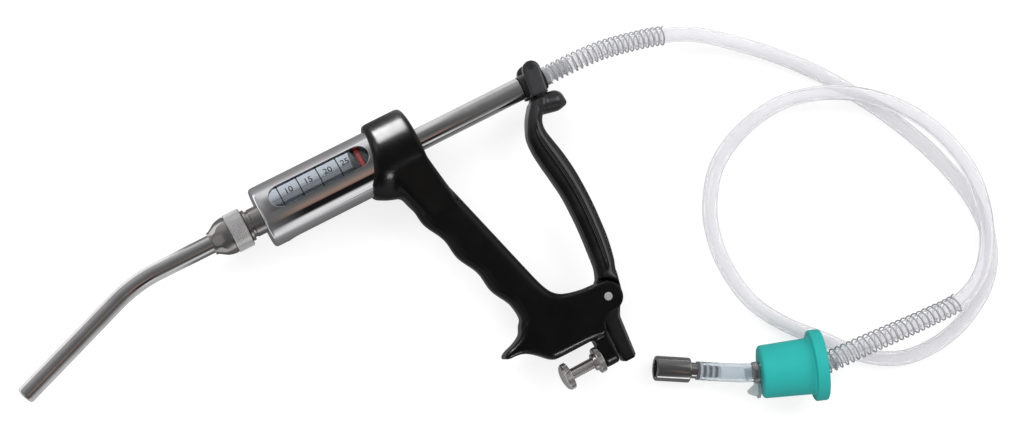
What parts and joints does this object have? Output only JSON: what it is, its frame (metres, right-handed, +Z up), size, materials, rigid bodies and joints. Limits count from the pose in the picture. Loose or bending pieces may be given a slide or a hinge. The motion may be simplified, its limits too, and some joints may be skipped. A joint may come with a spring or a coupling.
{
  "type": "livestock drencher",
  "caption": "Hand-squeezed dosing gun with a sight barrel, bent nozzle, squeeze lever, feed hose and bottle stopper, lying on its side.",
  "frame": {"origin": "on the surface that the gun lies on, below the middle of the gun (nozzle tip to hose barb, collar to lever tail), hose and stopper left out", "axes": "+X along the barrel from the nozzle to the rear, +Y from the grip towards the barrel, +Z up from the surface"},
  "size_m": [0.4993, 0.2473, 0.04],
  "materials": {
    "casting_black": "gloss black paint",
    "lever_black": "gloss black paint",
    "chrome": "polished",
    "polished_steel": "polished, fine turned",
    "plated": "satin plating",
    "spring_steel": "bright wire",
    "glass": "clear",
    "piston_black": "satin",
    "seal_rubber": "matt",
    "ring_red": "matt",
    "brass": "turned",
    "hose_clear": "clear soft PVC",
    "suction_grey": "translucent grey",
    "stopper_teal": "satin"
  },
  "bodies": {
    "frame": {"handle_casting": "casting_black", "barrel_sleeve": "chrome", "glass_cylinder": "glass", "outlet_cap": "polished_steel", "front_seal": "seal_rubber", "rear_seal": "seal_rubber", "rod_bush": "brass", "rod_wiper": "seal_rubber", "pivot_pin": "plated", "outlet_valve_cage": "brass", "outlet_valve_spring": "spring_steel", "hose_loop": "hose_clear", "stopper_guard_spring": "spring_steel", "stopper": "stopper_teal", "stopper_pipe": "polished_steel", "hose_clip": "plated", "suction_tube": "suction_grey", "suction_fitting": "chrome", "strainer": "polished_steel"},
    "nozzle": {"nozzle": "chrome", "nozzle_washer": "seal_rubber"},
    "lock_ring": {"nozzle_lock_ring": "polished_steel"},
    "lever": {"lever": "lever_black", "fork_screws": "plated", "return_spring": "spring_steel"},
    "plunger": {"plunger_rod": "chrome", "piston": "piston_black", "piston_o_rings": "ring_red", "piston_cap": "piston_black", "inlet_valve_spring": "spring_steel", "crosshead": "piston_black", "hose_barb": "polished_steel", "gun_guard_spring": "spring_steel", "hose_lead": "hose_clear"},
    "dose_screw": {"dose_screw": "plated"},
    "dose_lock_nut": {"dose_lock_nut": "plated"},
    "outlet_ball": {"outlet_valve_ball": "polished_steel"},
    "inlet_ball": {"inlet_valve_ball": "polished_steel"}
  },
  "joints": [
    {"name": "lever_squeeze", "type": "hinge", "parent": "frame", "child": "lever", "pos_m": [0.12111, -0.05045, 0.0194], "axis": [0, 0, 1], "range_deg": [0, 22.84], "stiffness_Nm_per_rad": 1, "springref_deg": -17.19, "deforming": ["return_spring"]},
    {"name": "plunger_slide", "type": "slide", "parent": "frame", "child": "plunger", "axis": [-1, 0, 0], "range_m": [0, 0.047]},
    {"name": "nozzle_swivel", "type": "hinge", "parent": "frame", "child": "nozzle", "pos_m": [-0.03259, 0.06555, 0.0194], "axis": [1, 0, 0], "continuous": true},
    {"name": "lock_ring_turn", "type": "hinge", "parent": "frame", "child": "lock_ring", "pos_m": [-0.03259, 0.06555, 0.0194], "axis": [1, 0, 0], "continuous": true},
    {"name": "dose_screw_turn", "type": "hinge", "parent": "frame", "child": "dose_screw", "pos_m": [0.10111, -0.07765, 0.0194], "axis": [1, 0, 0], "continuous": true},
    {"name": "dose_lock_nut_turn", "type": "hinge", "parent": "frame", "child": "dose_lock_nut", "pos_m": [0.10111, -0.07765, 0.0194], "axis": [1, 0, 0], "continuous": true},
    {"name": "outlet_ball_lift", "type": "slide", "parent": "frame", "child": "outlet_ball", "axis": [-1, 0, 0], "range_m": [0, 0.0015], "stiffness_N_per_m": 200, "springref_m": -0.001, "deforming": ["outlet_valve_spring"]},
    {"name": "inlet_ball_lift", "type": "slide", "parent": "plunger", "child": "inlet_ball", "axis": [-1, 0, 0], "range_m": [0, 0.001], "stiffness_N_per_m": 200, "springref_m": -0.001, "deforming": ["inlet_valve_spring"]}
  ],
  "couplings": [
    {"joint": "plunger_slide", "follows": "lever_squeeze", "m_per_rad": 0.11789}
  ]
}
